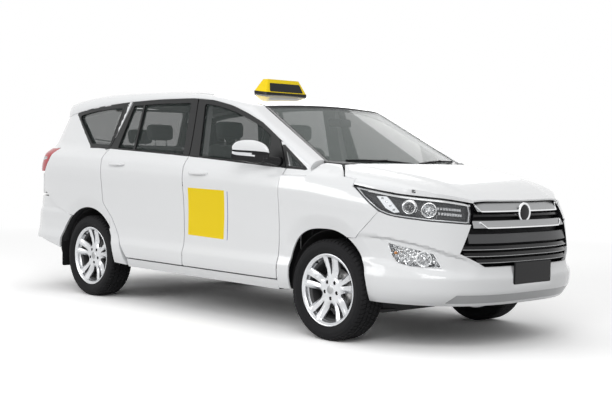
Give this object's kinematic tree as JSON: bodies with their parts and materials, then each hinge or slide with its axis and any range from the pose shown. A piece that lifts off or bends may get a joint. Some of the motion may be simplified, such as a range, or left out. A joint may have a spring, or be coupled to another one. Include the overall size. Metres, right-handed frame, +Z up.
{
  "type": "seven-seat taxi cab",
  "caption": "Boxy three-row taxi cab on a ladder frame, with hinged doors, hood and tailgate, steered front wheels and a sign on the roof",
  "frame": {"origin": "on the ground under the middle of the body", "axes": "+X forward, +Y to the left of the driver, +Z up"},
  "size_m": [4.7773, 2.1434, 1.7741],
  "materials": {
    "white_paint": "gloss white paint",
    "white_plastic": "gloss white paint on plastic",
    "tinted_glass": "grey-green tint",
    "lamp_lens": "clear lens over a chrome-lined case",
    "red_lens": "clear red lens",
    "seat_cloth": "woven grey cloth",
    "yellow_plastic": "satin yellow",
    "black_plastic": "satin black",
    "flap_rubber": "matt black",
    "dark_steel": "satin black paint",
    "cast_metal": "as cast",
    "exhaust_steel": "dull steel",
    "alloy": "silver lacquer",
    "tyre": "black rubber"
  },
  "bodies": {
    "body": {"frame_rail_left": "dark_steel", "frame_rail_right": "dark_steel", "cross_members": "dark_steel", "front_suspension": "cast_metal", "rear_axle": "dark_steel", "engine_block": "cast_metal", "fuel_tank": "black_plastic", "exhaust": "exhaust_steel", "spare_wheel": "flap_rubber", "floor_pan": "dark_steel", "wheelhouses": "black_plastic", "radiator_support": "dark_steel", "side_frame_left": "white_paint", "side_frame_right": "white_paint", "quarter_panel_left": "white_paint", "quarter_panel_right": "white_paint", "roof": "white_paint", "fender_left": "white_paint", "fender_right": "white_paint", "front_bumper": "white_plastic", "rear_bumper": "white_plastic", "grille": "black_plastic", "headlamp_left": "lamp_lens", "headlamp_right": "lamp_lens", "fog_lamps": "lamp_lens", "tail_lamps": "red_lens", "windscreen": "tinted_glass", "quarter_glass": "tinted_glass", "dashboard": "black_plastic", "front_seats": "seat_cloth", "second_row_seat": "seat_cloth", "third_row_seat": "seat_cloth", "taxi_sign": "yellow_plastic", "mudflaps": "flap_rubber"},
    "steering_wheel": {"steering_wheel": "black_plastic"},
    "hood": {"hood": "white_paint"},
    "tailgate": {"tailgate": "white_paint", "tailgate_glass": "tinted_glass"},
    "door_front_left": {"door_front_left": "white_paint", "glass_front_left": "tinted_glass", "mirror_left": "white_plastic"},
    "door_rear_left": {"door_rear_left": "white_paint", "glass_rear_left": "tinted_glass"},
    "knuckle_left": {"knuckle_left": "cast_metal"},
    "wheel_front_left": {"rim_front_left": "alloy", "tyre_front_left": "tyre"},
    "wheel_rear_left": {"rim_rear_left": "alloy", "tyre_rear_left": "tyre"},
    "door_front_right": {"door_front_right": "white_paint", "glass_front_right": "tinted_glass", "mirror_right": "white_plastic"},
    "door_rear_right": {"door_rear_right": "white_paint", "glass_rear_right": "tinted_glass"},
    "knuckle_right": {"knuckle_right": "cast_metal"},
    "wheel_front_right": {"rim_front_right": "alloy", "tyre_front_right": "tyre"},
    "wheel_rear_right": {"rim_rear_right": "alloy", "tyre_rear_right": "tyre"}
  },
  "joints": [
    {"name": "steer_right", "type": "hinge", "parent": "body", "child": "knuckle_right", "pos_m": [1.4, -0.715, 0.328], "axis": [0, 0, 1], "range_deg": [-33, 33]},
    {"name": "steer_left", "type": "hinge", "parent": "body", "child": "knuckle_left", "pos_m": [1.4, 0.715, 0.328], "axis": [0, 0, 1], "range_deg": [-33, 33]},
    {"name": "steering_wheel_turn", "type": "hinge", "parent": "body", "child": "steering_wheel", "pos_m": [0.745, -0.37, 0.96], "axis": [-0.8829, 0, 0.4695], "range_deg": [-528, 528]},
    {"name": "spin_front_left", "type": "hinge", "parent": "knuckle_left", "child": "wheel_front_left", "pos_m": [1.4, 0.77, 0.328], "axis": [0, 1, 0], "continuous": true},
    {"name": "spin_rear_left", "type": "hinge", "parent": "body", "child": "wheel_rear_left", "pos_m": [-1.35, 0.77, 0.328], "axis": [0, 1, 0], "continuous": true},
    {"name": "swing_door_front_left", "type": "hinge", "parent": "body", "child": "door_front_left", "pos_m": [0.91826, 0.8955, 0.7], "axis": [0, 0, -1], "range_deg": [0, 65]},
    {"name": "swing_door_rear_left", "type": "hinge", "parent": "body", "child": "door_rear_left", "pos_m": [-0.1128, 0.8955, 0.7], "axis": [0, 0, -1], "range_deg": [0, 65]},
    {"name": "spin_front_right", "type": "hinge", "parent": "knuckle_right", "child": "wheel_front_right", "pos_m": [1.4, -0.77, 0.328], "axis": [0, 1, 0], "continuous": true},
    {"name": "spin_rear_right", "type": "hinge", "parent": "body", "child": "wheel_rear_right", "pos_m": [-1.35, -0.77, 0.328], "axis": [0, 1, 0], "continuous": true},
    {"name": "swing_door_front_right", "type": "hinge", "parent": "body", "child": "door_front_right", "pos_m": [0.91826, -0.8955, 0.7], "axis": [0, 0, 1], "range_deg": [0, 65]},
    {"name": "swing_door_rear_right", "type": "hinge", "parent": "body", "child": "door_rear_right", "pos_m": [-0.1128, -0.8955, 0.7], "axis": [0, 0, 1], "range_deg": [0, 65]},
    {"name": "lift_hood", "type": "hinge", "parent": "body", "child": "hood", "pos_m": [1.335, 0, 1.085], "axis": [0, -1, 0], "range_deg": [0, 50]},
    {"name": "lift_tailgate", "type": "hinge", "parent": "body", "child": "tailgate", "pos_m": [-2.04, 0, 1.588], "axis": [0, 1, 0], "range_deg": [0, 85]}
  ],
  "couplings": [
    {"joint": "steer_left", "follows": "steer_right", "ratio": 1},
    {"joint": "steering_wheel_turn", "follows": "steer_right", "ratio": 16}
  ]
}
